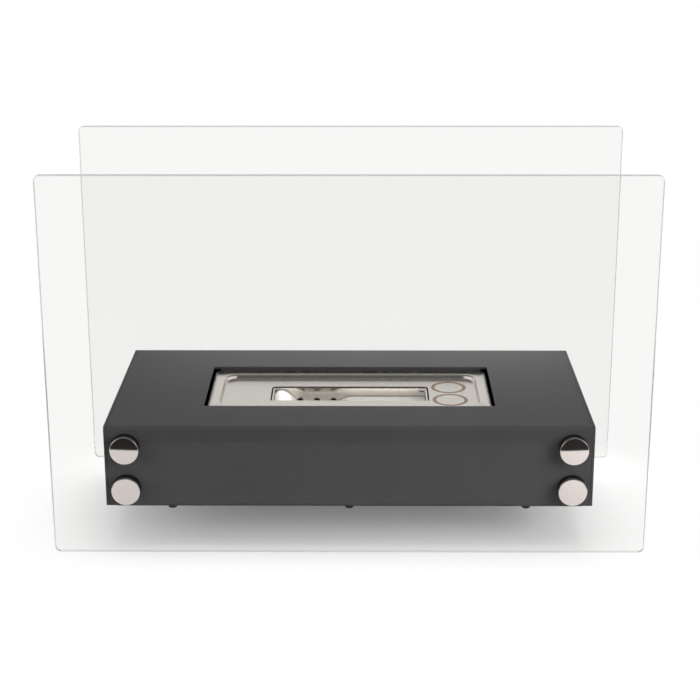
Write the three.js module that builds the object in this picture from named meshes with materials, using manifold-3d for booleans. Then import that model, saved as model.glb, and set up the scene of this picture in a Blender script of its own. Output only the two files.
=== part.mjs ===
// Tabletop bioethanol fireplace: two clear glass panes stand on the surface and hold a folded
// steel housing between them. A stainless burner drops into the housing's top.
// Millimetres, +Z up, +X to the right, the front faces -Y. The origin lies on the surface that
// the panes stand on, below the housing's centre.

import * as THREE from "three";
import { mergeVertices } from "three/addons/utils/BufferGeometryUtils.js";
import Module from "manifold-3d";

// ---- Glass panes
const PANE_WIDTH = 500;
const PANE_HEIGHT = 325;
const PANE_THICKNESS = 5;
const PANE_CORNER_RADIUS = 5;
const PANE_OVERHANG = 45; // beyond each end of the housing
const PANE_ARRIS = 0.6; // ground chamfer along every edge of the glass
const PANE_HOLE_RADIUS = 6;

// ---- Housing
const HOUSING_LENGTH = PANE_WIDTH - 2 * PANE_OVERHANG;
const HOUSING_DEPTH = 212;
const HOUSING_HEIGHT = 71.5;
const HOUSING_LIFT = 40; // from the surface to the underside of the walls
const SHEET = 2; // steel of the shell and of the end plates
const FOLD_RADIUS = 1; // inside radius of the shell's folds
const RETURN_WIDTH = 18; // bottom returns, from the wall's outer face to the free edge
const END_FLANGE_DEPTH = 8; // welded flange of each end plate, into the shell
const CUTOUT_CORNER_RADIUS = 2;

// ---- Bottom cover and its screws
const COVER_SHEET = 1.5;
const COVER_INSET = 6; // from the housing's outline
const COVER_CORNER_RADIUS = 3;
const VENT_LENGTH = 24;
const VENT_WIDTH = 4;
const VENT_PITCH = 36;
const VENTS_PER_ROW = 6;
const VENT_ROW_OFFSET = 52; // of each row from the middle
const COVER_SCREW_PITCH = 150;
const COVER_SCREWS_PER_SIDE = 3;
const COVER_SCREW_RADIUS = 2; // M4
const COVER_SCREW_LENGTH = 9;
const COVER_SCREW_HEAD_RADIUS = 3.8;
const COVER_SCREW_HEAD_HEIGHT = 2.2;
const COVER_SCREW_RIM_HEIGHT = 1.1; // upright edge of the pan head, below its rounding
const COVER_SCREW_FLAT_RADIUS = 2.3; // flat middle of the pan head

// ---- Burner
const BURNER_LENGTH = 247;
const BURNER_DEPTH = 102;
const BURNER_SHEET = 0.8;
const BURNER_RECESS = 3.5; // its flange lies this far below the housing's top
const BURNER_GAP = 2.5; // shadow gap all round, between flange and cut-out
const FLANGE_WIDTH = 8; // flat rim of the tray
const FLANGE_CORNER_RADIUS = 3;
const STEP_DEPTH = 3.8; // drawn step from the flange to the tray's floor
const STEP_CORNER_RADIUS = 15; // at the top of the step
const STEP_SHOULDER_RADIUS = 2;
const STEP_FOOT_RADIUS = 1.2;
const STEP_WALL_ANGLE = THREE.MathUtils.degToRad(75); // below the horizontal
const SLOT_LENGTH = 140.5;
const SLOT_DEPTH = 37.5;
const SLOT_CORNER_RADIUS = 2.5;
const TANK_LENGTH = 200;
const TANK_WIDTH = 62;
const TANK_DEPTH = 45;
const TANK_CORNER_RADIUS = 9;
const TANK_FOOT_RADIUS = 4;
const TANK_RIM = 5; // outward rim, welded under the tray's floor
const TROUGH_SHEET = 1.2;
const TROUGH_GAP = 1.25; // between the slot's edge and the trough
const TROUGH_RIM_DROP = 0.9; // below the tray's floor
const TROUGH_CORNER_RADIUS = 2;
const BREATHER_RADIUS = 3;
const BREATHER_PITCH = 15;
const BREATHERS_PER_ROW = 9;
const BREATHER_DROP = 12.8; // of the row's centre line below the tray's floor
const DRAIN_LENGTH = 18;
const DRAIN_HEIGHT = 4;
const DRAIN_PITCH = 30;
const DRAINS_PER_ROW = 4;
const DRAIN_RISE = 5; // of the row's centre line above the trough's inside floor
const TAB_SLOT_LENGTH = 4; // slots in the long walls for the tabs of the trough's end walls
const TAB_SLOT_HEIGHT = 1.2;
const TAB_SLOT_INSET = 2.4; // from the trough's end
const TAB_SLOT_DROP = 3.5; // of its centre line below the tray's floor
const WOOL_LEVEL = 8; // top of the wool below the tray's floor
const WOOL_BULGE = 5.2; // how far it bulges above that at its left end
const WOOL_SAG = 6.5; // how far it sags beside the bulge
const WOOL_BULGE_RISE = [-0.05, 0.06]; // where the bulge begins, as parts of the wool's length
const WOOL_BULGE_FALL = [0.06, 0.17]; // where the bulge ends
const WOOL_SAG_FALL = [0.08, 0.2]; // where the sag begins
const WOOL_SAG_RISE = [0.37, 0.5]; // where the sag ends
const WOOL_EDGE_RADIUS = 2.5;

// ---- Burner rails
const RAIL_SHEET = 1.5;
const RAIL_END_INSET = 6; // from the ends of the cut-out
const RAIL_LEDGE_OVERLAP = 6.5; // ledge under the burner's flange
const RAIL_LEG = 12; // leg that is welded under the top
const RAIL_JOGGLE_OFFSET = 0.5; // from the edge of the cut-out to the joggle

// ---- Clamped fixings, four on each pane
const FIXING_END_INSET = 18; // from the ends of the housing
const FIXING_TOP_INSET = 18;
const FIXING_BOTTOM_INSET = 17;
const WASHER_THICKNESS = 1.5; // rubber between housing and pane
const WASHER_RADIUS = 10;
const WASHER_BORE_RADIUS = 7;
const BUSH_FLANGE = 1;
const BUSH_FLANGE_RADIUS = 10;
const BUSH_END_GAP = 0.5; // the collar stops short of the pane's inner face
const CAP_RADIUS = 12;
const CAP_THICKNESS = 4;
const CAP_EDGE_RADIUS = 0.6;
const SHANK_RADIUS = 3; // M6
const SHANK_LENGTH = 19;
const NUT_HEAD_RADIUS = 6.5;
const NUT_HEAD_HEIGHT = 1;
const NUT_BODY_RADIUS = 4.5;
const NUT_BODY_LENGTH = 15;
const NUT_BULGE = 1; // how far the crimped collar stands out of the body
const NUT_BULGE_LENGTH = 2.2;

// ---- Clearances
const SEAT_GAP = 0.3; // between pieces that rest on or are welded to each other
const FIT_GAP = 0.3; // between a screw, collar or insert and its hole

// ---- How finely round forms are cut
const FOLD_STEPS = 4;
const CORNER_STEPS = 6;
const CAP_STEPS = 24;
const FIXING_STEPS = 16;
const HOLE_STEPS = 12;
const STEP_ARC_STEPS = 3;
const SMALL_ARC_STEPS = 2;
const WOOL_STEPS = 22;
const SAME_POINT = 1e-6;
const WELD_DISTANCE = 1e-4;

// ---- Places that several pieces share
const housingTop = HOUSING_LIFT + HOUSING_HEIGHT;
const wallFace = HOUSING_DEPTH / 2; // outer face of the front and rear walls
const cutoutLength = BURNER_LENGTH + 2 * BURNER_GAP;
const cutoutDepth = BURNER_DEPTH + 2 * BURNER_GAP;
const flangeTop = housingTop - BURNER_RECESS;
const trayFloor = flangeTop - STEP_DEPTH;
const fixingX = HOUSING_LENGTH / 2 - FIXING_END_INSET;
const fixingHeights = {
  upper: housingTop - FIXING_TOP_INSET,
  lower: HOUSING_LIFT + FIXING_BOTTOM_INSET,
};
const paneInner = wallFace + WASHER_THICKNESS;
const paneOuter = paneInner + PANE_THICKNESS;
const coverTop = HOUSING_LIFT - SEAT_GAP;
const coverScrewY = wallFace - RETURN_WIDTH / 2;

// ---- Finishes
const finishes = {
  glass: { color: 0xe9f3ef, roughness: 0.03, metalness: 0, transparent: true, opacity: 0.3 },
  powderCoat: { color: 0x4b4b4c, roughness: 0.6, metalness: 0 },
  zincPlate: { color: 0xa9abad, roughness: 0.4, metalness: 1 },
  stainless: { color: 0xc6c2bc, roughness: 0.28, metalness: 1 },
  chrome: { color: 0xe2dcda, roughness: 0.06, metalness: 1 },
  rubber: { color: 0x1d1d1e, roughness: 0.85, metalness: 0 },
  nylon: { color: 0xdcdcd8, roughness: 0.5, metalness: 0 },
  ceramicWool: { color: 0xf0efeb, roughness: 1, metalness: 0 },
};

const wasm = await Module();
wasm.setup();

// ---- Outlines

// Closed outline through corners given as [x, y, fillet radius].
function filleted(corners, steps = FOLD_STEPS) {
  const points = [];
  corners.forEach(([x, y, radius = 0], i) => {
    const corner = new THREE.Vector2(x, y);
    if (radius === 0) {
      points.push(corner);
      return;
    }
    const towards = ([px, py]) => new THREE.Vector2(px, py).sub(corner).normalize();
    const before = towards(corners.at(i - 1));
    const after = towards(corners[(i + 1) % corners.length]);
    const halfAngle = Math.acos(before.dot(after)) / 2;
    const inward = before.clone().add(after).normalize();
    const centre = corner.clone().addScaledVector(inward, radius / Math.sin(halfAngle));
    const sweep = Math.PI - 2 * halfAngle;
    const turn = before.cross(after) > 0 ? -1 : 1;
    const spoke = inward.clone().multiplyScalar(-radius);
    for (let step = 0; step <= steps; step += 1) {
      const angle = turn * sweep * (step / steps - 0.5);
      points.push(spoke.clone().rotateAround(new THREE.Vector2(), angle).add(centre));
    }
  });
  return points.filter((point, i) => point.distanceTo(points.at(i - 1)) > SAME_POINT);
}

function rectangle(width, height, radius, steps, centre = [0, 0]) {
  const [x, y] = centre;
  const corners = [[-1, -1], [1, -1], [1, 1], [-1, 1]];
  const placed = corners.map(([u, v]) => [x + (u * width) / 2, y + (v * height) / 2, radius]);
  return filleted(placed, steps);
}

function circle(x, y, radius, steps) {
  return Array.from({ length: steps }, (_, i) => {
    const angle = ((i + 0.5) / steps) * 2 * Math.PI;
    return new THREE.Vector2(x + radius * Math.cos(angle), y + radius * Math.sin(angle));
  });
}

// Middles of a row of equally spaced places, centred on 0.
function row(count, pitch) {
  return Array.from({ length: count }, (_, i) => (i - (count - 1) / 2) * pitch);
}

// ---- Solids

function shapeWithHoles(outline, holes = []) {
  const shape = new THREE.Shape(outline);
  holes.forEach((hole) => shape.holes.push(new THREE.Path(hole)));
  return shape;
}

// Plate with its outline in X and Y, from one height to another.
function plate(outline, holes, bottom, top) {
  const settings = { depth: top - bottom, bevelEnabled: false };
  const geometry = new THREE.ExtrudeGeometry(shapeWithHoles(outline, holes), settings);
  return geometry.translate(0, 0, bottom);
}

// Bar with its outline in Y and Z, centred along X.
function barAlongX(outline, length) {
  const settings = { depth: length, bevelEnabled: false };
  const geometry = new THREE.ExtrudeGeometry(shapeWithHoles(outline), settings);
  geometry.translate(0, 0, -length / 2);
  const turn = new THREE.Matrix4().makeBasis(
    new THREE.Vector3(0, 1, 0),
    new THREE.Vector3(0, 0, 1),
    new THREE.Vector3(1, 0, 0),
  );
  return geometry.applyMatrix4(turn);
}

// Skin through rings of as many points each. A capped loft closes its first and last ring with
// a flat face, and any other loft joins its last ring to its first.
function loft(rings, capped) {
  const count = rings[0].length;
  const positions = rings.flat().flatMap((point) => point.toArray());
  const faces = [];
  const joins = capped ? rings.length - 1 : rings.length;
  for (let ring = 0; ring < joins; ring += 1) {
    const next = (ring + 1) % rings.length;
    for (let i = 0; i < count; i += 1) {
      const j = (i + 1) % count;
      const [a, b] = [ring * count + i, ring * count + j];
      const [c, d] = [next * count + j, next * count + i];
      faces.push(a, b, c, a, c, d);
    }
  }
  if (capped) {
    const last = (rings.length - 1) * count;
    for (let i = 1; i < count - 1; i += 1) {
      faces.push(0, i + 1, i);
      faces.push(last, last + i, last + i + 1);
    }
  }
  const geometry = new THREE.BufferGeometry();
  geometry.setAttribute("position", new THREE.Float32BufferAttribute(positions, 3));
  geometry.setIndex(faces);
  return geometry;
}

// Level ring of a loft: a rectangle with round corners at one height.
function levelRing(width, depth, radius, z) {
  const outline = rectangle(width, depth, radius, CORNER_STEPS);
  return outline.map(({ x, y }) => new THREE.Vector3(x, y, z));
}

// Upright ring of a loft: an outline in Y and Z at one X.
function uprightRing(outline, x) {
  return outline.map((point) => new THREE.Vector3(x, point.x, point.y));
}

// Solid of revolution about Y. The profile holds [radius, y] and runs with y rising outside.
function turned(profile, steps) {
  const points = profile.map(([radius, y]) => new THREE.Vector2(radius, y));
  return new THREE.LatheGeometry(points, steps);
}

// Ring of revolution about Y, whose profile closes on itself.
function turnedRing(profile, steps) {
  return turned([...profile, profile[0]], steps);
}

function toManifold(geometry) {
  const bare = new THREE.BufferGeometry();
  bare.setAttribute("position", geometry.getAttribute("position"));
  if (geometry.index) bare.setIndex(geometry.index);
  const merged = mergeVertices(bare, WELD_DISTANCE);
  const vertProperties = new Float32Array(merged.getAttribute("position").array);
  const triVerts = new Uint32Array(merged.index.array);
  return new wasm.Manifold(new wasm.Mesh({ numProp: 3, vertProperties, triVerts }));
}

function cutBy(geometry, tools) {
  const solid = tools.reduce(
    (left, tool) => left.subtract(toManifold(tool)),
    toManifold(geometry),
  );
  const { vertProperties, triVerts } = solid.getMesh();
  const result = new THREE.BufferGeometry();
  result.setAttribute("position", new THREE.BufferAttribute(vertProperties, 3));
  result.setIndex(new THREE.BufferAttribute(triVerts, 1));
  return result;
}

// Round cutting tool along Y through a given place.
function crossDrill(radius, x, y, z, length, steps = HOLE_STEPS) {
  const tool = new THREE.CylinderGeometry(radius, radius, length, steps);
  return tool.translate(x, y, z);
}

function mesh(name, geometry, finish) {
  geometry.computeVertexNormals();
  const result = new THREE.Mesh(geometry, new THREE.MeshStandardMaterial(finishes[finish]));
  result.name = name;
  return result;
}

// ---- Glass panes: drilled, tempered, with all edges ground to an arris

function paneGeometry() {
  const middle = [0, PANE_HEIGHT / 2];
  const outline = rectangle(PANE_WIDTH, PANE_HEIGHT, PANE_CORNER_RADIUS, CORNER_STEPS, middle);
  const holes = [-fixingX, fixingX].flatMap((x) =>
    Object.values(fixingHeights).map((z) => circle(x, z, PANE_HOLE_RADIUS, FIXING_STEPS)),
  );
  const geometry = new THREE.ExtrudeGeometry(shapeWithHoles(outline, holes), {
    depth: PANE_THICKNESS - 2 * PANE_ARRIS,
    bevelThickness: PANE_ARRIS,
    bevelSize: PANE_ARRIS,
    bevelOffset: -PANE_ARRIS,
    bevelSegments: 1,
  });
  geometry.translate(0, 0, PANE_ARRIS);
  return geometry.rotateX(Math.PI / 2);
}

function panes() {
  const front = mesh("front_glass", paneGeometry(), "glass");
  front.position.y = -paneInner;
  const rear = mesh("rear_glass", paneGeometry(), "glass");
  rear.position.y = paneOuter;
  return [front, rear];
}

// ---- Housing shell: one sheet, folded into top, front, rear and two bottom returns

function shellGeometry() {
  const outer = FOLD_RADIUS + SHEET;
  const foot = HOUSING_LIFT;
  const inside = wallFace - SHEET;
  const lip = wallFace - RETURN_WIDTH;
  const section = filleted([
    [-lip, foot],
    [-lip, foot + SHEET],
    [-inside, foot + SHEET, FOLD_RADIUS],
    [-inside, housingTop - SHEET, FOLD_RADIUS],
    [inside, housingTop - SHEET, FOLD_RADIUS],
    [inside, foot + SHEET, FOLD_RADIUS],
    [lip, foot + SHEET],
    [lip, foot],
    [wallFace, foot, outer],
    [wallFace, housingTop, outer],
    [-wallFace, housingTop, outer],
    [-wallFace, foot, outer],
  ]);
  const blank = barAlongX(section, HOUSING_LENGTH - 2 * (SHEET + SEAT_GAP));
  const cutout = rectangle(cutoutLength, cutoutDepth, CUTOUT_CORNER_RADIUS);
  const cuts = [plate(cutout, [], housingTop - 2 * SHEET, housingTop + SHEET)];
  [-fixingX, fixingX].forEach((x) => {
    Object.values(fixingHeights).forEach((z) => {
      [-wallFace, wallFace].forEach((y) => {
        cuts.push(crossDrill(NUT_BODY_RADIUS + FIT_GAP, x, y, z, 4 * SHEET, FIXING_STEPS));
      });
    });
  });
  coverScrewPlaces().forEach(([x, y]) => {
    const hole = circle(x, y, COVER_SCREW_RADIUS + FIT_GAP, HOLE_STEPS);
    cuts.push(plate(hole, [], foot - SHEET, foot + 2 * SHEET));
  });
  return cutBy(blank, cuts);
}

// ---- End plates: each closes one end of the shell, with a flange that reaches inside it

function endPlateGeometry() {
  const middle = [0, HOUSING_LIFT + HOUSING_HEIGHT / 2];
  const full = rectangle(HOUSING_DEPTH, HOUSING_HEIGHT, FOLD_RADIUS + SHEET, FOLD_STEPS, middle);
  const insetOutline = (inset) => {
    const [width, height] = [HOUSING_DEPTH - 2 * inset, HOUSING_HEIGHT - 2 * inset];
    return rectangle(width, height, FOLD_RADIUS, FOLD_STEPS, middle);
  };
  const flangeOuter = insetOutline(SHEET + SEAT_GAP);
  const flangeInner = insetOutline(2 * SHEET + SEAT_GAP);
  const outerFace = HOUSING_LENGTH / 2;
  const innerFace = outerFace - SHEET;
  const flangeEnd = innerFace - END_FLANGE_DEPTH;
  const rings = [
    uprightRing(flangeInner, innerFace),
    uprightRing(flangeInner, flangeEnd),
    uprightRing(flangeOuter, flangeEnd),
    uprightRing(flangeOuter, innerFace),
    uprightRing(full, innerFace),
    uprightRing(full, outerFace),
  ];
  return loft(rings, true);
}

function housing() {
  const shell = mesh("housing_shell", shellGeometry(), "powderCoat");
  const right = mesh("end_plate_right", endPlateGeometry(), "powderCoat");
  const left = mesh("end_plate_left", endPlateGeometry(), "powderCoat");
  left.rotation.z = Math.PI;
  return [shell, right, left];
}

// ---- Bottom cover: screwed under the returns, with two rows of vent slots below the burner

function coverScrewPlaces() {
  return row(COVER_SCREWS_PER_SIDE, COVER_SCREW_PITCH).flatMap((x) =>
    [-coverScrewY, coverScrewY].map((y) => [x, y]),
  );
}

function bottomCover() {
  const length = HOUSING_LENGTH - 2 * COVER_INSET;
  const depth = HOUSING_DEPTH - 2 * COVER_INSET;
  const outline = rectangle(length, depth, COVER_CORNER_RADIUS);
  const vents = [-VENT_ROW_OFFSET, VENT_ROW_OFFSET].flatMap((y) =>
    row(VENTS_PER_ROW, VENT_PITCH).map((x) =>
      rectangle(VENT_LENGTH, VENT_WIDTH, VENT_WIDTH / 2, SMALL_ARC_STEPS, [x, y]),
    ),
  );
  const screwHoles = coverScrewPlaces().map(([x, y]) =>
    circle(x, y, COVER_SCREW_RADIUS + FIT_GAP, HOLE_STEPS),
  );
  const geometry = plate(outline, [...vents, ...screwHoles], coverTop - COVER_SHEET, coverTop);
  return [mesh("bottom_cover", geometry, "powderCoat")];
}

function coverScrews() {
  const profile = [
    [0, -COVER_SCREW_HEAD_HEIGHT],
    [COVER_SCREW_FLAT_RADIUS, -COVER_SCREW_HEAD_HEIGHT],
    [COVER_SCREW_HEAD_RADIUS, -COVER_SCREW_RIM_HEIGHT],
    [COVER_SCREW_HEAD_RADIUS, 0],
    [COVER_SCREW_RADIUS, 0],
    [COVER_SCREW_RADIUS, COVER_SCREW_LENGTH],
    [0, COVER_SCREW_LENGTH],
  ];
  return coverScrewPlaces().map(([x, y], i) => {
    const geometry = turned(profile, HOLE_STEPS).rotateX(Math.PI / 2);
    const screw = mesh(`cover_screw_${i + 1}`, geometry, "zincPlate");
    screw.position.set(x, y, coverTop - COVER_SHEET);
    return screw;
  });
}

// ---- Burner rails: joggled strips that carry the burner's flange below the housing's top

function railGeometry() {
  const legTop = housingTop - SHEET - SEAT_GAP;
  const ledgeTop = flangeTop - BURNER_SHEET - SEAT_GAP;
  const drop = legTop - ledgeTop;
  const ledgeEdge = BURNER_DEPTH / 2 - RAIL_LEDGE_OVERLAP;
  const joggle = cutoutDepth / 2 + RAIL_JOGGLE_OFFSET;
  const legStart = joggle + drop;
  const legEnd = legStart + RAIL_LEG;
  const lean = RAIL_SHEET * Math.tan(Math.PI / 8); // keeps the sheet's thickness at 45 degrees
  const section = filleted([
    [ledgeEdge, ledgeTop],
    [ledgeEdge, ledgeTop - RAIL_SHEET],
    [joggle + lean, ledgeTop - RAIL_SHEET],
    [legStart + lean, legTop - RAIL_SHEET],
    [legEnd, legTop - RAIL_SHEET],
    [legEnd, legTop],
    [legStart, legTop],
    [joggle, ledgeTop],
  ]);
  return barAlongX(section, cutoutLength - 2 * RAIL_END_INSET);
}

function rails() {
  const rear = mesh("burner_rail_rear", railGeometry(), "powderCoat");
  const front = mesh("burner_rail_front", railGeometry(), "powderCoat");
  front.rotation.z = Math.PI;
  return [rear, front];
}

// ---- Burner tray: drawn from one sheet, with a flat flange, a soft step and a slotted floor

// Upper face of the drawn step from flange to floor. inset runs inwards from the flange's edge,
// drop runs down from its face, and (inward, up) is the face's normal there.
function stepProfile() {
  const arcDrop = (STEP_SHOULDER_RADIUS + STEP_FOOT_RADIUS) * (1 - Math.cos(STEP_WALL_ANGLE));
  const wall = (STEP_DEPTH - arcDrop) / Math.tan(STEP_WALL_ANGLE);
  const run = (STEP_SHOULDER_RADIUS + STEP_FOOT_RADIUS) * Math.sin(STEP_WALL_ANGLE) + wall;
  const at = (centreInset, centreDrop, radius, angle) => ({
    inset: centreInset + radius * Math.sin(angle),
    drop: centreDrop - radius * Math.cos(angle),
    inward: Math.sin(angle),
    up: Math.cos(angle),
  });
  const angles = Array.from(
    { length: STEP_ARC_STEPS + 1 },
    (_, i) => (i / STEP_ARC_STEPS) * STEP_WALL_ANGLE,
  );
  const shoulder = angles.map((angle) =>
    at(FLANGE_WIDTH, STEP_SHOULDER_RADIUS, STEP_SHOULDER_RADIUS, angle),
  );
  const foot = angles
    .toReversed()
    .map((angle) =>
      at(FLANGE_WIDTH + run, STEP_DEPTH - STEP_FOOT_RADIUS, -STEP_FOOT_RADIUS, angle),
    );
  return [...shoulder, ...foot];
}

function trayGeometry() {
  const ring = (inset, z) => {
    const corner =
      inset > 0 ? STEP_CORNER_RADIUS - (inset - FLANGE_WIDTH) : FLANGE_CORNER_RADIUS;
    return levelRing(BURNER_LENGTH - 2 * inset, BURNER_DEPTH - 2 * inset, corner, z);
  };
  const step = stepProfile();
  const upperFace = step.map(({ inset, drop }) => ring(inset, flangeTop - drop));
  const lowerFace = step.map(({ inset, drop, inward, up }) =>
    ring(inset - BURNER_SHEET * inward, flangeTop - drop - BURNER_SHEET * up),
  );
  const slot = (z) => levelRing(SLOT_LENGTH, SLOT_DEPTH, SLOT_CORNER_RADIUS, z);
  const rings = [
    ring(0, flangeTop),
    ...upperFace,
    slot(trayFloor),
    slot(trayFloor - BURNER_SHEET),
    ...lowerFace.toReversed(),
    ring(0, flangeTop - BURNER_SHEET),
  ];
  return loft(rings, false);
}

// ---- Fuel tank: deep box with an outward rim, welded under the tray's floor

const tankRim = trayFloor - BURNER_SHEET - SEAT_GAP;
const tankBottom = tankRim - TANK_DEPTH;

function tankGeometry() {
  const ring = (grow, z) => {
    const corner = TANK_CORNER_RADIUS + grow;
    return levelRing(TANK_LENGTH + 2 * grow, TANK_WIDTH + 2 * grow, corner, z);
  };
  const footRings = (grow, radius, z) =>
    Array.from({ length: SMALL_ARC_STEPS + 1 }, (_, i) => {
      const angle = (i / SMALL_ARC_STEPS) * (Math.PI / 2);
      return ring(grow - radius * (1 - Math.sin(angle)), z + radius * (1 - Math.cos(angle)));
    });
  const innerFoot = footRings(
    -BURNER_SHEET,
    TANK_FOOT_RADIUS - BURNER_SHEET,
    tankBottom + BURNER_SHEET,
  );
  const rings = [
    ...footRings(0, TANK_FOOT_RADIUS, tankBottom),
    ring(0, tankRim - BURNER_SHEET),
    ring(TANK_RIM, tankRim - BURNER_SHEET),
    ring(TANK_RIM, tankRim),
    ring(-BURNER_SHEET, tankRim),
    ...innerFoot.toReversed(),
  ];
  return loft(rings, true);
}

// ---- Perforated trough: stands in the tank below the slot and holds the ceramic wool

const troughLength = SLOT_LENGTH - 2 * TROUGH_GAP;
const troughWidth = SLOT_DEPTH - 2 * TROUGH_GAP;
const troughRim = trayFloor - TROUGH_RIM_DROP;
const troughBottom = tankBottom + BURNER_SHEET + SEAT_GAP;
const troughFloor = troughBottom + TROUGH_SHEET;

function troughGeometry() {
  const ring = (inset, z) => {
    const corner = TROUGH_CORNER_RADIUS - inset;
    return levelRing(troughLength - 2 * inset, troughWidth - 2 * inset, corner, z);
  };
  const channel = loft(
    [
      ring(0, troughBottom),
      ring(0, troughRim),
      ring(TROUGH_SHEET, troughRim),
      ring(TROUGH_SHEET, troughFloor),
    ],
    true,
  );
  const through = 2 * troughWidth;
  const breathers = row(BREATHERS_PER_ROW, BREATHER_PITCH).map((x) =>
    crossDrill(BREATHER_RADIUS, x, 0, trayFloor - BREATHER_DROP, through),
  );
  const crossCut = (outline) => plate(outline, [], -through / 2, through / 2).rotateX(Math.PI / 2);
  const drains = row(DRAINS_PER_ROW, DRAIN_PITCH).map((x) => {
    const middle = [x, troughFloor + DRAIN_RISE];
    const end = DRAIN_HEIGHT / 2;
    return crossCut(rectangle(DRAIN_LENGTH, DRAIN_HEIGHT, end, SMALL_ARC_STEPS, middle));
  });
  const tabSlotX = (troughLength - TAB_SLOT_LENGTH) / 2 - TAB_SLOT_INSET;
  const tabSlots = [-tabSlotX, tabSlotX].map((x) =>
    crossCut(rectangle(TAB_SLOT_LENGTH, TAB_SLOT_HEIGHT, 0, 1, [x, trayFloor - TAB_SLOT_DROP])),
  );
  return cutBy(channel, [...breathers, ...drains, ...tabSlots]);
}

// ---- Ceramic wool: packed into the trough, with a bulge and a sag at its left end

function woolTop(along) {
  const smooth = THREE.MathUtils.smoothstep;
  const bump = (rise, fall) => smooth(along, ...rise) * (1 - smooth(along, ...fall));
  const bulge = WOOL_BULGE * bump(WOOL_BULGE_RISE, WOOL_BULGE_FALL);
  const sag = WOOL_SAG * bump(WOOL_SAG_FALL, WOOL_SAG_RISE);
  return trayFloor - WOOL_LEVEL + bulge - sag;
}

function woolGeometry() {
  const length = troughLength - 2 * (TROUGH_SHEET + SEAT_GAP);
  const width = troughWidth - 2 * (TROUGH_SHEET + SEAT_GAP);
  const bottom = troughFloor + SEAT_GAP;
  const rings = Array.from({ length: WOOL_STEPS + 1 }, (_, i) => {
    const along = i / WOOL_STEPS;
    const top = woolTop(along);
    const corners = [
      [-width / 2, bottom],
      [width / 2, bottom],
      [width / 2, top, WOOL_EDGE_RADIUS],
      [-width / 2, top, WOOL_EDGE_RADIUS],
    ];
    const outline = filleted(corners, SMALL_ARC_STEPS);
    return uprightRing(outline, (along - 0.5) * length);
  });
  return loft(rings, true);
}

function burner() {
  return [
    mesh("burner_tray", trayGeometry(), "stainless"),
    mesh("fuel_tank", tankGeometry(), "stainless"),
    mesh("perforated_trough", troughGeometry(), "stainless"),
    mesh("ceramic_wool", woolGeometry(), "ceramicWool"),
  ];
}

// ---- Clamped fixings, each about Y with its origin on the wall's outer face

// Flat polished disc with a rounded edge, turned in one piece with its threaded shank.
function capScrewProfile() {
  const seat = WASHER_THICKNESS + PANE_THICKNESS + BUSH_FLANGE;
  const face = seat + CAP_THICKNESS;
  const soft = CAP_EDGE_RADIUS;
  const eased = soft * (1 - Math.SQRT1_2);
  return [
    [0, seat - SHANK_LENGTH],
    [SHANK_RADIUS, seat - SHANK_LENGTH],
    [SHANK_RADIUS, seat],
    [CAP_RADIUS, seat],
    [CAP_RADIUS, face - soft],
    [CAP_RADIUS - eased, face - eased],
    [CAP_RADIUS - soft, face],
    [0, face],
  ];
}

// Washer under the cap with a collar that keeps the screw off the glass.
function bushProfile() {
  const outside = WASHER_THICKNESS + PANE_THICKNESS;
  const collarEnd = WASHER_THICKNESS + BUSH_END_GAP;
  const bore = SHANK_RADIUS + FIT_GAP;
  const collar = PANE_HOLE_RADIUS - FIT_GAP;
  return [
    [bore, collarEnd],
    [collar, collarEnd],
    [collar, outside],
    [BUSH_FLANGE_RADIUS, outside],
    [BUSH_FLANGE_RADIUS, outside + BUSH_FLANGE],
    [bore, outside + BUSH_FLANGE],
  ];
}

function washerProfile() {
  return [
    [WASHER_BORE_RADIUS, 0],
    [WASHER_RADIUS, 0],
    [WASHER_RADIUS, WASHER_THICKNESS],
    [WASHER_BORE_RADIUS, WASHER_THICKNESS],
  ];
}

// Blind insert: its head lies on the wall and its crimped collar grips the wall from behind.
function rivetNutProfile() {
  const bore = SHANK_RADIUS + FIT_GAP;
  const grip = -SHEET - FIT_GAP;
  const bulge = NUT_BODY_RADIUS + NUT_BULGE;
  return [
    [bore, -NUT_BODY_LENGTH],
    [NUT_BODY_RADIUS, -NUT_BODY_LENGTH],
    [NUT_BODY_RADIUS, grip - NUT_BULGE_LENGTH],
    [bulge, grip - NUT_BULGE_LENGTH / 2],
    [bulge, grip],
    [NUT_BODY_RADIUS, grip],
    [NUT_BODY_RADIUS, 0],
    [NUT_HEAD_RADIUS, 0],
    [NUT_HEAD_RADIUS, NUT_HEAD_HEIGHT],
    [bore, NUT_HEAD_HEIGHT],
  ];
}

function fixing(place) {
  return [
    mesh(`cap_screw_${place}`, turned(capScrewProfile(), CAP_STEPS), "chrome"),
    mesh(`glass_bush_${place}`, turnedRing(bushProfile(), FIXING_STEPS), "nylon"),
    mesh(`inner_washer_${place}`, turnedRing(washerProfile(), FIXING_STEPS), "rubber"),
    mesh(`rivet_nut_${place}`, turnedRing(rivetNutProfile(), HOLE_STEPS), "zincPlate"),
  ];
}

// The rear fixings point along +Y, and the front ones are the same set turned round.
function fixings() {
  return ["rear", "front"].map((wall) => {
    const set = new THREE.Group();
    set.rotation.z = wall === "rear" ? 0 : Math.PI;
    const ownRight = wall === "rear" ? 1 : -1;
    Object.entries(fixingHeights).forEach(([level, z]) => {
      [["left", -1], ["right", 1]].forEach(([end, sign]) => {
        const spot = new THREE.Group();
        spot.position.set(ownRight * sign * fixingX, wallFace, z);
        spot.add(...fixing(`${wall}_${level}_${end}`));
        set.add(spot);
      });
    });
    return set;
  });
}

const fireplace = new THREE.Group();
fireplace.add(...panes(), ...housing(), ...bottomCover(), ...coverScrews(), ...rails());
fireplace.add(...burner(), ...fixings());

export default fireplace;
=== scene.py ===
# Looks of a tabletop bioethanol fireplace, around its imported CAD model: two clear glass panes
# hold a folded steel housing between them, and a burner lifts out of the housing's top.
# Metres, +Z up, +X to the right. The front faces -Y.

import math

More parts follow.
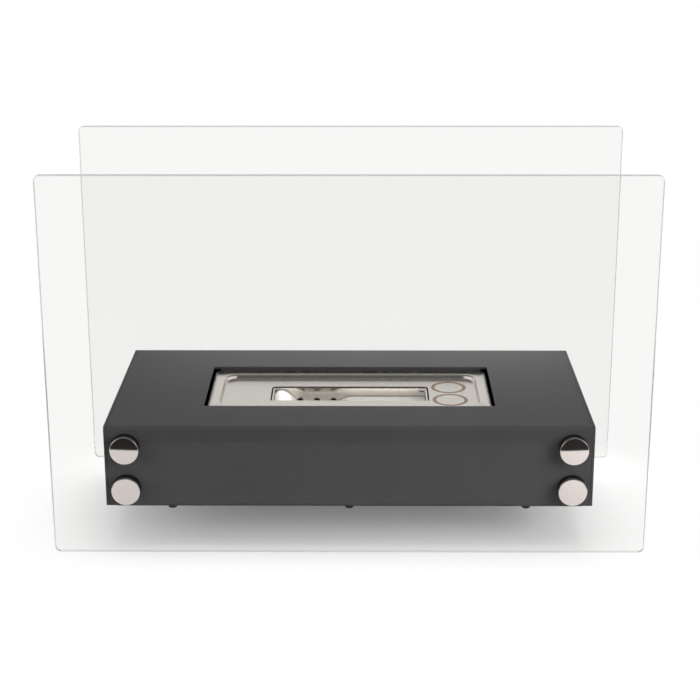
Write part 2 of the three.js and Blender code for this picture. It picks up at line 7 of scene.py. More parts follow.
import bmesh
import bpy
from mathutils import Matrix, Vector, noise


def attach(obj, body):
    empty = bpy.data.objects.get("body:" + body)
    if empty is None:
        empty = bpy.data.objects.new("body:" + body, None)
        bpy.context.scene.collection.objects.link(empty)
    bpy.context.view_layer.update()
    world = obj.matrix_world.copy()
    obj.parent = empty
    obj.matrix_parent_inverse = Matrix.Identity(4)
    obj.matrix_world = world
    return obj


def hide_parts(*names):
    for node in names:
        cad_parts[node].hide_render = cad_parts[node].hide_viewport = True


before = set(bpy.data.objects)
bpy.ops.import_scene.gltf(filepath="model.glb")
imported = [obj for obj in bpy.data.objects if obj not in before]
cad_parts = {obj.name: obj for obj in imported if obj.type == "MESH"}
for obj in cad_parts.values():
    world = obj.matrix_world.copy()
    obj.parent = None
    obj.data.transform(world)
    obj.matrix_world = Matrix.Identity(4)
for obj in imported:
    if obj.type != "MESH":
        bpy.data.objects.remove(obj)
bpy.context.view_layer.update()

# ---- Housing: shell and end plates
# Folded from 2 mm sheet steel, with the end plates welded in and ground flush, then coated all
# over with a fine matt anthracite powder that melts to a faint orange peel when it is baked.

MM = 0.001
COAT_COLOUR = "434243"
COAT_PATCH_COLOUR = "3f3e3f"
COAT_PATCH = 70 * MM  # slow drift of tone across the coat
COAT_PEEL = 1.3 * MM  # real peel is about half as wide, drawn coarser so that it shows
COAT_PEEL_DEPTH = 0.012 * MM
COAT_ROUGHNESS = (0.6, 0.68)
COAT_SHINE = 0.1  # specular level of a matt powder
NOISE_RANGE = (0.3, 0.7)  # nearly all of a noise lies between these


def linear(colour):
    """An sRGB hex colour as linear red, green, blue and alpha."""
    parts = [int(colour[i : i + 2], 16) / 255 for i in (0, 2, 4)]
    return (*[p / 12.92 if p <= 0.04045 else ((p + 0.055) / 1.055) ** 2.4 for p in parts], 1)


def add(tree, kind, inputs=None, **settings):
    """Adds a node with its own settings. An input is a plain value or the output to link."""
    node = tree.nodes.new(kind)
    for name, value in settings.items():
        setattr(node, name, value)
    for name, value in (inputs or {}).items():
        if isinstance(value, bpy.types.NodeSocket):
            tree.links.new(value, node.inputs[name])
        else:
            node.inputs[name].default_value = value
    return node


def new_material(name):
    """A material without nodes, and its tree."""
    material = bpy.data.materials.new(name)
    material.use_nodes = True
    material.node_tree.nodes.clear()
    return material, material.node_tree


def coat_with(material, *names):
    """Gives CAD nodes their finish."""
    for name in names:
        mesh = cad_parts[name].data
        mesh.materials.clear()
        mesh.materials.append(material)


# Polyester powder baked on steel: an even anthracite that mirrors nothing, only lightens a little
# towards the lamps, and shows small soft dimples close up.
powder_coat, tree = new_material("powder_coat")
place = add(tree, "ShaderNodeTexCoord").outputs["Object"]
peel = add(tree, "ShaderNodeTexNoise", {"Vector": place, "Scale": 1 / COAT_PEEL, "Detail": 2})
patches = add(tree, "ShaderNodeTexNoise", {"Vector": place, "Scale": 1 / COAT_PATCH, "Detail": 1})
colour = add(
    tree,
    "ShaderNodeMix",
    {0: patches.outputs["Fac"], 6: linear(COAT_COLOUR), 7: linear(COAT_PATCH_COLOUR)},
    data_type="RGBA",
)
gloss = add(
    tree,
    "ShaderNodeMapRange",
    {
        "Value": peel.outputs["Fac"],
        "From Min": NOISE_RANGE[0],
        "From Max": NOISE_RANGE[1],
        "To Min": COAT_ROUGHNESS[0],
        "To Max": COAT_ROUGHNESS[1],
    },
)
bump = add(
    tree,
    "ShaderNodeBump",
    {"Height": peel.outputs["Fac"], "Distance": COAT_PEEL_DEPTH, "Strength": 1},
)
shader = add(
    tree,
    "ShaderNodeBsdfPrincipled",
    {
        "Base Color": colour.outputs[2],
        "Roughness": gloss.outputs[0],
        "IOR": 1.5,
        "Specular IOR Level": COAT_SHINE,
        "Normal": bump.outputs[0],
    },
)
add(tree, "ShaderNodeOutputMaterial", {"Surface": shader.outputs[0]})
coat_with(powder_coat, "housing_shell", "end_plate_left", "end_plate_right")

# ---- Bottom cover and its six screws
# A flat plate of 1.5 mm steel with two rows of vent slots, coated like the housing. M4 pan-head
# screws with a cross recess, zinc-plated and passivated black, hold it under the housing's returns.

COVER_SCREW_SPACING = (150 * MM, 194 * MM)  # along X and Y
COVER_UNDERSIDE = 38.2 * MM
COVER_SCREW_HEAD = (3.8 * MM, 2.2 * MM)  # radius and height
COVER_SCREW_CROWN = 1.1 * MM
COVER_SCREW_SHANK = (2 * MM, 9 * MM)  # radius and length
COVER_SCREW_LEAD = 0.3 * MM
COVER_SCREW_SEGMENTS = 40
RECESS_SPAN = 4.2 * MM
RECESS_WIDTH = 0.9 * MM
RECESS_DEPTH = 1.3 * MM
ZINC_COLOUR = "b4b8bd"
ZINC_SPANGLE_COLOUR = "9da2a8"
ZINC_SPANGLE = 1.2 * MM  # real plate clouds at about 0.3 mm, drawn coarser so that it shows
ZINC_ROUGHNESS = 0.34
BLACK_ZINC_COLOUR = "3b3b3e"
BLACK_ZINC_SPANGLE_COLOUR = "2f2f31"

coat_with(powder_coat, "bottom_cover")


def grain_of(tree, sizes):
    """Noise with grains of these sizes along X, Y and Z."""
    place = add(tree, "ShaderNodeTexCoord").outputs["Object"]
    scales = [1 / size for size in sizes]
    scaled = add(tree, "ShaderNodeMapping", {"Vector": place, "Scale": scales})
    return add(tree, "ShaderNodeTexNoise", {"Vector": scaled.outputs[0], "Scale": 1, "Detail": 2})


# Bright zinc plate on steel: a cool blue-grey metal with a soft shine, faintly clouded.
zinc_plate, tree = new_material("zinc_plated_steel")
spangle = grain_of(tree, (ZINC_SPANGLE,) * 3)
colour = add(
    tree,
    "ShaderNodeMix",
    {0: spangle.outputs["Fac"], 6: linear(ZINC_COLOUR), 7: linear(ZINC_SPANGLE_COLOUR)},
    data_type="RGBA",
)
shader = add(
    tree,
    "ShaderNodeBsdfPrincipled",
    {"Base Color": colour.outputs[2], "Metallic": 1, "Roughness": ZINC_ROUGHNESS},
)
add(tree, "ShaderNodeOutputMaterial", {"Surface": shader.outputs[0]})

# The same plate passivated black, to go with the coat: nearly black, with the soft shine of metal.
black_zinc = zinc_plate.copy()
black_zinc.name = "black_zinc_plated_steel"
tone = next(node for node in black_zinc.node_tree.nodes if node.type == "MIX")
tone.inputs[6].default_value = linear(BLACK_ZINC_COLOUR)
tone.inputs[7].default_value = linear(BLACK_ZINC_SPANGLE_COLOUR)


def shade(mesh, sharp=35):
    """Shades a mesh smooth, except where it turns by more than sharp degrees."""
    mesh.shade_smooth()
    mesh.set_sharp_from_angle(angle=math.radians(sharp))


def finish_mesh(form, name, sharp=35):
    """A mesh object from a bmesh, with its faces outwards."""
    bmesh.ops.recalc_face_normals(form, faces=form.faces)
    mesh = bpy.data.meshes.new(name)
    form.to_mesh(mesh)
    form.free()
    shade(mesh, sharp)
    made = bpy.data.objects.new(name, mesh)
    bpy.context.scene.collection.objects.link(made)
    return made


def turned(profile, segments, closed=False):
    """A bmesh turned about Z from (radius, height) points. A closed profile makes a ring."""
    form = bmesh.new()
    rings = []
    for radius, height in profile:
        steps = segments if radius > 0 else 1
        angles = [2 * math.pi * i / steps for i in range(steps)]
        rings.append(
            [form.verts.new((radius * math.cos(a), radius * math.sin(a), height)) for a in angles]
        )
    pairs = list(zip(rings, rings[1:]))
    if closed:
        pairs.append((rings[-1], rings[0]))
    for low, high in pairs:
        for i in range(segments):
            j = (i + 1) % segments
            below = (low[i % len(low)], low[j % len(low)])
            above = (high[j % len(high)], high[i % len(high)])
            form.faces.new(dict.fromkeys(below + above))
    return form


def arc(centre, radius, start, end, steps):
    """Points of a round stretch, by its centre and its angles in degrees."""
    angles = [math.radians(start + (end - start) * i / steps) for i in range(steps + 1)]
    return [
        (centre[0] + radius * math.cos(a), centre[1] + radius * math.sin(a)) for a in angles
    ]


def without_modifiers(made):
    """Turns what an object's modifiers make into its plain mesh."""
    graph = bpy.context.evaluated_depsgraph_get()
    mesh = bpy.data.meshes.new_from_object(made.evaluated_get(graph), depsgraph=graph)
    made.modifiers.clear()
    made.data = mesh
    return made


def geometry_tree(name, *sockets):
    """An empty Geometry Nodes tree with named inputs, and its Group Input node."""
    tree = bpy.data.node_groups.new(name, "GeometryNodeTree")
    tree.interface.new_socket(name="Geometry", in_out="OUTPUT", socket_type="NodeSocketGeometry")
    for label, kind in sockets:
        tree.interface.new_socket(name=label, in_out="INPUT", socket_type="NodeSocket" + kind)
    return tree, add(tree, "NodeGroupInput").outputs


def grow(name, tree, values, start=None):
    """A mesh object that a Geometry Nodes tree makes from its inputs' values."""
    mesh = start or bpy.data.meshes.new(name)
    made = bpy.data.objects.new(name, mesh)
    bpy.context.scene.collection.objects.link(made)
    modifier = made.modifiers.new(name, "NODES")
    modifier.node_group = tree
    for item in tree.interface.items_tree:
        if item.in_out == "INPUT" and item.name in values:
            modifier[item.identifier] = values[item.name]
    return without_modifiers(made)


def drop(*objects):
    """Deletes the patterns that a tree has copied."""
    for thing in objects:
        bpy.data.objects.remove(thing)


head_radius, head_height = COVER_SCREW_HEAD
shank_radius, shank_length = COVER_SCREW_SHANK
crown_centre = (head_radius - COVER_SCREW_CROWN, head_height - COVER_SCREW_CROWN)
pan_head = [
    (0, -shank_length),
    (shank_radius - COVER_SCREW_LEAD, -shank_length),
    (shank_radius, -shank_length + COVER_SCREW_LEAD),
    (shank_radius, 0),
    (head_radius, 0),
    *arc(crown_centre, COVER_SCREW_CROWN, 0, 90, 8),
    (0, head_height),
]
screw_pattern = finish_mesh(turned(pan_head, COVER_SCREW_SEGMENTS), "pan_head_screw")
cross = bmesh.new()
for turn in (0, math.pi / 2):
    blade = bmesh.ops.create_cube(cross, size=1)["verts"]
    scale = Matrix.Diagonal((RECESS_SPAN, RECESS_WIDTH, 2 * RECESS_DEPTH, 1))
    move = Matrix.Translation((0, 0, head_height)) @ Matrix.Rotation(turn, 4, "Z")
    bmesh.ops.transform(cross, matrix=move @ scale, verts=blade)
cross_pattern = finish_mesh(cross, "cross_recess")
recess = screw_pattern.modifiers.new("recess", "BOOLEAN")
recess.object = cross_pattern
recess.use_self = True
without_modifiers(screw_pattern)
shade(screw_pattern.data)

# Three columns by two rows of one screw, with their heads down.
tree, given = geometry_tree(
    "screws_in_rows",
    ("Screw", "Object"),
    ("Column Spacing", "Float"),
    ("Row Spacing", "Float"),
    ("Underside", "Float"),
    ("Finish", "Material"),
)
width = add(tree, "ShaderNodeMath", {0: given["Column Spacing"], 1: 2}, operation="MULTIPLY")
grid = add(
    tree,
    "GeometryNodeMeshGrid",
    {"Size X": width.outputs[0], "Size Y": given["Row Spacing"], "Vertices X": 3, "Vertices Y": 2},
)
screw = add(tree, "GeometryNodeObjectInfo", {"Object": given["Screw"]})
copies = add(
    tree,
    "GeometryNodeInstanceOnPoints",
    {
        "Points": grid.outputs["Mesh"],
        "Instance": screw.outputs["Geometry"],
        "Rotation": (math.pi, 0, 0),
    },
)
height = add(tree, "ShaderNodeCombineXYZ", {"Z": given["Underside"]})
placed = add(
    tree,
    "GeometryNodeTransform",
    {"Geometry": copies.outputs[0], "Translation": height.outputs[0]},
)
real = add(tree, "GeometryNodeRealizeInstances", {"Geometry": placed.outputs[0]})
finished = add(
    tree,
    "GeometryNodeSetMaterial",
    {"Geometry": real.outputs[0], "Material": given["Finish"]},
)
add(tree, "NodeGroupOutput", {"Geometry": finished.outputs[0]})
cover_screws = grow(
    "cover_screws",
    tree,
    {
        "Screw": screw_pattern,
        "Column Spacing": COVER_SCREW_SPACING[0],
        "Row Spacing": COVER_SCREW_SPACING[1],
        "Underside": COVER_UNDERSIDE,
        "Finish": black_zinc,
    },
)
drop(screw_pattern, cross_pattern)
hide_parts(*[f"cover_screw_{i}" for i in range(1, 7)])
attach(cover_screws, "stand")

# ---- Burner rails
# Joggled strips of 1.5 mm steel, spot-welded under the housing's top on both long sides of the
# cut-out, so that the burner's flange lies below the top face. Coated with the housing.

coat_with(powder_coat, "burner_rail_front", "burner_rail_rear")

# ---- Blind rivet nuts
# Zinc-plated steel inserts, crimped into the housing's front and rear walls. Their round heads
# lie on the wall inside the rubber washers, and the cap screws thread into them.

FIXING_X = 187 * MM
FIXING_HEIGHTS = (57 * MM, 93.5 * MM)
WALL = 106 * MM  # from the middle to the outside of the front or rear wall
FIXING_SEGMENTS = 96
NUT_BORE = 3.3 * MM
NUT_BODY = 4.5 * MM
NUT_HEAD = 6.5 * MM
NUT_HEAD_HEIGHT = 1 * MM
NUT_SOFT = 0.4 * MM
NUT_LENGTH = 15 * MM
NUT_GRIP = 2.3 * MM
CRIMP_BULGE = 1 * MM
CRIMP_HALF = 1.1 * MM

crimp_middle = -NUT_GRIP - CRIMP_HALF
nut_profile = [
    (NUT_BORE, -NUT_LENGTH),
    (NUT_BODY - NUT_SOFT, -NUT_LENGTH),
    (NUT_BODY, -NUT_LENGTH + NUT_SOFT),
    (NUT_BODY, crimp_middle - CRIMP_HALF),
    *arc((NUT_BODY, crimp_middle), CRIMP_BULGE, -80, 80, 8),
    (NUT_BODY, -NUT_GRIP),
    (NUT_BODY, 0),
    (NUT_HEAD, 0),
    *arc((NUT_HEAD - NUT_SOFT, NUT_HEAD_HEIGHT - NUT_SOFT), NUT_SOFT, 0, 90, 4),
    (NUT_BORE, NUT_HEAD_HEIGHT),
]
nut_pattern = finish_mesh(turned(nut_profile, FIXING_SEGMENTS, closed=True), "rivet_nut")

# Four of one piece on the front wall and four on the rear, each with its axis square to the wall.
fixing_tree, given = geometry_tree(
    "fixings_on_both_walls",
    ("Piece", "Object"),
    ("Spacing", "Float"),
    ("Rise", "Float"),
    ("Middle Height", "Float"),
    ("Wall", "Float"),
    ("Finish", "Material"),
)
grid = add(
    fixing_tree,
    "GeometryNodeMeshGrid",
    {"Size X": given["Spacing"], "Size Y": given["Rise"], "Vertices X": 2, "Vertices Y": 2},
)
piece = add(fixing_tree, "GeometryNodeObjectInfo", {"Object": given["Piece"]})
copies = add(
    fixing_tree,
    "GeometryNodeInstanceOnPoints",
    {"Points": grid.outputs["Mesh"], "Instance": piece.outputs["Geometry"]},
)
outwards = add(fixing_tree, "ShaderNodeMath", {0: given["Wall"], 1: -1}, operation="MULTIPLY")
front_place = add(
    fixing_tree,
    "ShaderNodeCombineXYZ",
    {"Y": outwards.outputs[0], "Z": given["Middle Height"]},
)
front = add(
    fixing_tree,
    "GeometryNodeTransform",
    {
        "Geometry": copies.outputs[0],
        "Translation": front_place.outputs[0],
        "Rotation": (math.pi / 2, 0, 0),
    },
)
rear = add(
    fixing_tree,
    "GeometryNodeTransform",
    {"Geometry": front.outputs[0], "Rotation": (0, 0, math.pi)},
)
both = add(fixing_tree, "GeometryNodeJoinGeometry", {"Geometry": front.outputs[0]})
fixing_tree.links.new(rear.outputs[0], both.inputs[0])
real = add(fixing_tree, "GeometryNodeRealizeInstances", {"Geometry": both.outputs[0]})
finished = add(
    fixing_tree,
    "GeometryNodeSetMaterial",
    {"Geometry": real.outputs[0], "Material": given["Finish"]},
)
add(fixing_tree, "NodeGroupOutput", {"Geometry": finished.outputs[0]})


def fixings(name, pattern, material):
    """Eight of one fixing piece, in place of the CAD nodes of that name."""
    lower, upper = FIXING_HEIGHTS
    made = grow(
        name + "s",
        fixing_tree,
        {
            "Piece": pattern,
            "Spacing": 2 * FIXING_X,
            "Rise": upper - lower,
            "Middle Height": (upper + lower) / 2,
            "Wall": WALL,
            "Finish": material,
        },
    )
    drop(pattern)
    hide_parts(*[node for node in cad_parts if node.startswith(name)])
    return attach(made, "stand")


fixings("rivet_nut", nut_pattern, zinc_plate)

# ---- Rubber washers
# Punched from black rubber sheet. One lies between the housing's wall and the glass at each
# fixing, so that the pane is clamped softly.

WASHER_BORE = 7 * MM
WASHER_RADIUS = 12 * MM
WASHER_THICKNESS = 1.5 * MM
WASHER_SOFT = 0.3 * MM
RUBBER_COLOUR = "101011"
RUBBER_ROUGHNESS = 0.8
RUBBER_GRAIN = 0.8 * MM  # the real grain is about 0.1 mm, drawn coarser so that it shows
RUBBER_GRAIN_DEPTH = 0.03 * MM

# Black rubber sheet, pressed with a fine grain: dull and nearly without a highlight, so that a
# washer reads as a dark rim round its cap.
rubber, tree = new_material("black_rubber")
grain = grain_of(tree, (RUBBER_GRAIN,) * 3)
bump = add(
    tree,
    "ShaderNodeBump",
    {"Height": grain.outputs["Fac"], "Distance": RUBBER_GRAIN_DEPTH, "Strength": 1},
)
shader = add(
    tree,
    "ShaderNodeBsdfPrincipled",
    {
        "Base Color": linear(RUBBER_COLOUR),
        "Roughness": RUBBER_ROUGHNESS,
        "IOR": 1.52,
        "Normal": bump.outputs[0],
    },
)
add(tree, "ShaderNodeOutputMaterial", {"Surface": shader.outputs[0]})

soft_centre = WASHER_RADIUS - WASHER_SOFT
washer_profile = [
    (WASHER_BORE, 0),
    *arc((soft_centre, WASHER_SOFT), WASHER_SOFT, -90, 0, 4),
    *arc((soft_centre, WASHER_THICKNESS - WASHER_SOFT), WASHER_SOFT, 0, 90, 4),
    (WASHER_BORE, WASHER_THICKNESS),
]
washer_pattern = finish_mesh(turned(washer_profile, FIXING_SEGMENTS, closed=True), "washer")
fixings("inner_washer", washer_pattern, rubber)

# ---- Glass panes
# 5 mm clear float glass, cut, drilled at the four fixings and tempered. The faces are left as they
# float, bright and flat, and the edges are ground matt.

GLASS_THICKNESS = 5 * MM
GLASS_TINT = "f8f8f7"
GLASS_SHINE = (0.12, 0.12, 0.12, 1)  # weaker than real, as the photo's panes mirror nothing
GLASS_IOR = 1.52
GLASS_EDGE_COLOUR = "cad3ce"
EDGE_ROUGHNESS = 0.3
EDGE_CLEARNESS = 0.6
EDGE_GRIND = 0.6 * MM  # real grinding marks are about 0.05 mm, drawn coarser so that they show
EDGE_GRIND_DEPTH = 0.02 * MM
FACE_OF_PANE = 0.95  # a face whose normal is at least so far along Y is not an edge

# Clear float glass: nearly colourless, so that a pane only greys what is behind it by a shade.
clear_glass, tree = new_material("tempered_float_glass")
shader = add(
    tree,
    "ShaderNodeBsdfPrincipled",
    {
        "Base Color": linear(GLASS_TINT),
        "Roughness": 0,
        "IOR": GLASS_IOR,
        "Specular Tint": GLASS_SHINE,
        "Transmission Weight": 1,
    },
)
add(tree, "ShaderNodeOutputMaterial", {"Surface": shader.outputs[0]})

# Its ground edge: matt and half clear, a thin line in the pale grey green of glass seen through
# its length.
ground_edge, tree = new_material("ground_glass_edge")
grind = grain_of(tree, (EDGE_GRIND,) * 3)
bump = add(
    tree,
    "ShaderNodeBump",
    {"Height": grind.outputs["Fac"], "Distance": EDGE_GRIND_DEPTH, "Strength": 1},
)
shader = add(
    tree,
    "ShaderNodeBsdfPrincipled",
    {
        "Base Color": linear(GLASS_EDGE_COLOUR),
        "Roughness": EDGE_ROUGHNESS,
        "IOR": GLASS_IOR,
        "Transmission Weight": EDGE_CLEARNESS,
        "Normal": bump.outputs[0],
    },
)
add(tree, "ShaderNodeOutputMaterial", {"Surface": shader.outputs[0]})

for name in ("front_glass", "rear_glass"):
    coat_with(clear_glass, name)
    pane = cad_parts[name]
    pane.data.materials.append(ground_edge)
    for face in pane.data.polygons:
        face.material_index = 0 if abs(face.normal.y) > FACE_OF_PANE else 1
    # Lamps reach what is behind the glass without having to be found through it.
    pane.visible_shadow = False
    pane.visible_diffuse = False

# ---- Bushes
# Turned from natural nylon: a thin washer under each cap, with a collar that reaches into the
# hole and keeps the screw off the glass.

BUSH_BORE = 3.3 * MM
BUSH_COLLAR = 5.7 * MM
BUSH_FLANGE = 10 * MM
BUSH_THICKNESS = 1 * MM
BUSH_END = 2 * MM  # inner end of the collar, from the wall
BUSH_SEAT = WASHER_THICKNESS + GLASS_THICKNESS
BUSH_TOP = BUSH_SEAT + BUSH_THICKNESS
BUSH_LEAD = 0.3 * MM
BUSH_BREAK = 0.2 * MM
NYLON_COLOUR = "dcdbd4"
NYLON_CLOUD = 2 * MM
NYLON_ROUGHNESS = (0.35, 0.5)

# Nylon without a dye, turned: a milky off-white with an uneven waxy shine.
nylon, tree = new_material("natural_nylon")
grain = grain_of(tree, (NYLON_CLOUD,) * 3)
gloss = add(
    tree,
    "ShaderNodeMapRange",
    {
        "Value": grain.outputs["Fac"],
        "To Min": NYLON_ROUGHNESS[0],
        "To Max": NYLON_ROUGHNESS[1],
    },
)
shader = add(
    tree,
    "ShaderNodeBsdfPrincipled",
    {"Base Color": linear(NYLON_COLOUR), "Roughness": gloss.outputs[0], "IOR": 1.53},
)
add(tree, "ShaderNodeOutputMaterial", {"Surface": shader.outputs[0]})

bush_profile = [
    (BUSH_BORE, BUSH_END),
    (BUSH_COLLAR - BUSH_LEAD, BUSH_END),
    (BUSH_COLLAR, BUSH_END + BUSH_LEAD),
    (BUSH_COLLAR, BUSH_SEAT),
    (BUSH_FLANGE - BUSH_BREAK, BUSH_SEAT),
    (BUSH_FLANGE, BUSH_SEAT + BUSH_BREAK),
    (BUSH_FLANGE, BUSH_TOP - BUSH_BREAK),
    (BUSH_FLANGE - BUSH_BREAK, BUSH_TOP),
    (BUSH_BORE, BUSH_TOP),
]
bush_pattern = finish_mesh(turned(bush_profile, FIXING_SEGMENTS, closed=True), "bush")
fixings("glass_bush", bush_pattern, nylon)

# ---- Cap screws
# Flat round heads of 24 mm, turned in one piece with their M6 shank, polished and nickel-chrome
# plated, so that the faces are plain mirrors with a softly rounded edge.

CAP_RADIUS = 12 * MM
CAP_THICKNESS = 4 * MM
CAP_SEAT = BUSH_TOP
CAP_FACE = CAP_SEAT + CAP_THICKNESS
CAP_BREAK = 0.2 * MM
CAP_SOFT = 0.6 * MM
SHANK_RADIUS = 3 * MM
SHANK_END = -11.5 * MM
THREAD_PITCH = 1 * MM
THREAD_DEPTH = 0.5 * MM
THREAD_LEAD = 0.4 * MM
THREAD_TURNS = 14
CHROME_COLOUR = "efe6e3"
CHROME_WIPED_COLOUR = "e2d7d2"
CHROME_ROUGHNESS = (0.03, 0.07)
WIPE_WIDTH = 0.5 * MM  # real polishing marks are about 0.05 mm wide, drawn wider so that they show
WIPE_LENGTH = 9 * MM

# Polished nickel-chrome plate: a clear, slightly warm mirror that goes black where the room is
# dark, with faint upright polishing marks.
chrome, tree = new_material("polished_chrome")
wipe = grain_of(tree, (WIPE_WIDTH, WIPE_WIDTH, WIPE_LENGTH))
tone = add(
    tree,
    "ShaderNodeMix",
    {0: wipe.outputs["Fac"], 6: linear(CHROME_COLOUR), 7: linear(CHROME_WIPED_COLOUR)},
    data_type="RGBA",
)
gloss = add(
    tree,
    "ShaderNodeMapRange",
    {
        "Value": wipe.outputs["Fac"],
        "To Min": CHROME_ROUGHNESS[0],
        "To Max": CHROME_ROUGHNESS[1],
    },
)
shader = add(
    tree,
    "ShaderNodeBsdfPrincipled",
    {"Base Color": tone.outputs[2], "Metallic": 1, "Roughness": gloss.outputs[0]},
)
add(tree, "ShaderNodeOutputMaterial", {"Surface": shader.outputs[0]})

thread = []
for i in range(THREAD_TURNS):
    root = SHANK_END + THREAD_LEAD + i * THREAD_PITCH
    thread += [(SHANK_RADIUS - THREAD_DEPTH, root), (SHANK_RADIUS, root + THREAD_PITCH / 2)]
cap_profile = [
    (0, SHANK_END),
    (SHANK_RADIUS - THREAD_DEPTH, SHANK_END),
    *thread,
    (SHANK_RADIUS, CAP_SEAT),
    (CAP_RADIUS - CAP_BREAK, CAP_SEAT),
    (CAP_RADIUS, CAP_SEAT + CAP_BREAK),
    *arc((CAP_RADIUS - CAP_SOFT, CAP_FACE - CAP_SOFT), CAP_SOFT, 0, 90, 8),
    (0, CAP_FACE),
]
cap_pattern = finish_mesh(turned(cap_profile, FIXING_SEGMENTS), "cap_screw", sharp=28)
fixings("cap_screw", cap_pattern, chrome)

# ---- Burner tray
# Drawn from 0.8 mm stainless sheet: a flat flange, a soft step down to the floor and a slot in
# the middle. Satin on top, and bright on the drawn step where the tool has burnished it.

TRAY_LENGTH = 247 * MM
TRAY_DEPTH = 102 * MM
TRAY_TOP = 108 * MM
TRAY_SHEET = 0.8 * MM
FLANGE_WIDTH = 8 * MM
FLANGE_CORNER = 3 * MM
STEP_DEPTH = 3.8 * MM
STEP_CORNER = 15 * MM
STEP_SHOULDER = 2 * MM
STEP_FOOT = 1.2 * MM
STEP_ANGLE = math.radians(75)
SLOT_LENGTH = 140.5 * MM
SLOT_DEPTH = 37.5 * MM
SLOT_CORNER = 2.5 * MM
SHEET_BREAK = 0.15 * MM  # edges of the sheet are broken after blanking
FLAT_MARGIN = 0.3 * MM  # the flat faces begin here, beside a bend
CORNER_STEPS = 16
STEEL_COLOUR = "e6e0da"
STEEL_ROUGHNESS = (0.24, 0.28)
GRAIN_LENGTH = 9 * MM
GRAIN_WIDTH = 0.35 * MM  # real grit lines are about 0.05 mm wide, drawn coarser so that they show
GRAIN_DEPTH = 0.0003 * MM
BURNISHED_ROUGHNESS = 0.12
BURNISHED_EDGE = (0.1 * MM, 0.4 * MM)  # how far inside the step's height the satin gives way
ETCH_COLOUR = "9c806c"
ETCH_PLACES = ((88.8 * MM, 16.7 * MM), (88.8 * MM, -16.7 * MM))
ETCH_RADIUS = 14.1 * MM
ETCH_STROKE = 3.2 * MM
ETCH_FADE = (0.45, 0.55)  # where the tint begins to fade and where it ends, as shares of the stroke

# Stainless sheet with a satin grain along X: a light, slightly warm grey metal that blurs what it
# mirrors.
stainless, tree = new_material("satin_stainless_steel")
grain = grain_of(tree, (GRAIN_LENGTH, GRAIN_WIDTH, GRAIN_WIDTH))
gloss = add(
    tree,
    "ShaderNodeMapRange",
    {
        "Value": grain.outputs["Fac"],
        "From Min": NOISE_RANGE[0],
        "From Max": NOISE_RANGE[1],
        "To Min": STEEL_ROUGHNESS[0],
        "To Max": STEEL_ROUGHNESS[1],
    },
)
bump = add(
    tree,
    "ShaderNodeBump",
    {"Height": grain.outputs["Fac"], "Distance": GRAIN_DEPTH, "Strength": 1},
)
shader = add(
    tree,
    "ShaderNodeBsdfPrincipled",
    {
        "Base Color": linear(STEEL_COLOUR),
        "Metallic": 1,
        "Roughness": gloss.outputs[0],
        "Normal": bump.outputs[0],
    },
)
add(tree, "ShaderNodeOutputMaterial", {"Surface": shader.outputs[0]})

# The tray's own finish on that steel: the drawn step is burnished, so that it mirrors the room more
# clearly, and two plain rings etched into the floor are tinted brown.
etched_stainless = stainless.copy()
etched_stainless.name = "etched_stainless_steel"
tree = etched_stainless.node_tree
shader = next(node for node in tree.nodes if node.type == "BSDF_PRINCIPLED")
place = add(tree, "ShaderNodeTexCoord").outputs["Object"]
parts = add(tree, "ShaderNodeSeparateXYZ", {0: place})
above_middle = add(
    tree,
    "ShaderNodeMath",
    {0: parts.outputs["Z"], 1: TRAY_TOP - STEP_DEPTH / 2},
    operation="SUBTRACT",
)
off_middle = add(tree, "ShaderNodeMath", {0: above_middle.outputs[0]}, operation="ABSOLUTE")
drawn = add(
    tree,
    "ShaderNodeMapRange",
    {
        "Value": off_middle.outputs[0],
        "From Min": STEP_DEPTH / 2 - BURNISHED_EDGE[0],
        "From Max": STEP_DEPTH / 2 - BURNISHED_EDGE[1],
    },
)
satin = next(node for node in tree.nodes if node.type == "MAP_RANGE")
gloss = add(
    tree,
    "ShaderNodeMix",
    {0: drawn.outputs[0], 2: satin.outputs[0], 3: BURNISHED_ROUGHNESS},
    data_type="FLOAT",
)
tree.links.new(gloss.outputs[0], shader.inputs["Roughness"])
bump = next(node for node in tree.nodes if node.type == "BUMP")
rubbed = add(tree, "ShaderNodeMath", {0: 1, 1: drawn.outputs[0]}, operation="SUBTRACT")
tree.links.new(rubbed.outputs[0], bump.inputs["Strength"])
marks = None
for x, y in ETCH_PLACES:
    flat = add(
        tree,
        "ShaderNodeVectorMath",
        {0: place, 1: (1, 1, 0)},
        operation="MULTIPLY",
    )
    away = add(
        tree,
        "ShaderNodeVectorMath",
        {0: flat.outputs[0], 1: (x, y, 0)},
        operation="DISTANCE",
    )
    off = add(
        tree,
        "ShaderNodeMath",
        {0: away.outputs["Value"], 1: ETCH_RADIUS},
        operation="SUBTRACT",
    )
    off = add(tree, "ShaderNodeMath", {0: off.outputs[0]}, operation="ABSOLUTE")
    mark = add(
        tree,
        "ShaderNodeMapRange",
        {
            "Value": off.outputs[0],
            "From Min": ETCH_FADE[0] * ETCH_STROKE,
            "From Max": ETCH_FADE[1] * ETCH_STROKE,
            "To Min": 1,
            "To Max": 0,
        },
    )
    if marks is None:
        marks = mark.outputs[0]
    else:
        marks = add(
            tree,
            "ShaderNodeMath",
            {0: marks, 1: mark.outputs[0]},
            operation="MAXIMUM",
        ).outputs[0]
colour = add(
    tree,
    "ShaderNodeMix",
    {0: marks, 6: linear(STEEL_COLOUR), 7: linear(ETCH_COLOUR)},
    data_type="RGBA",
)
tree.links.new(colour.outputs[2], shader.inputs["Base Color"])


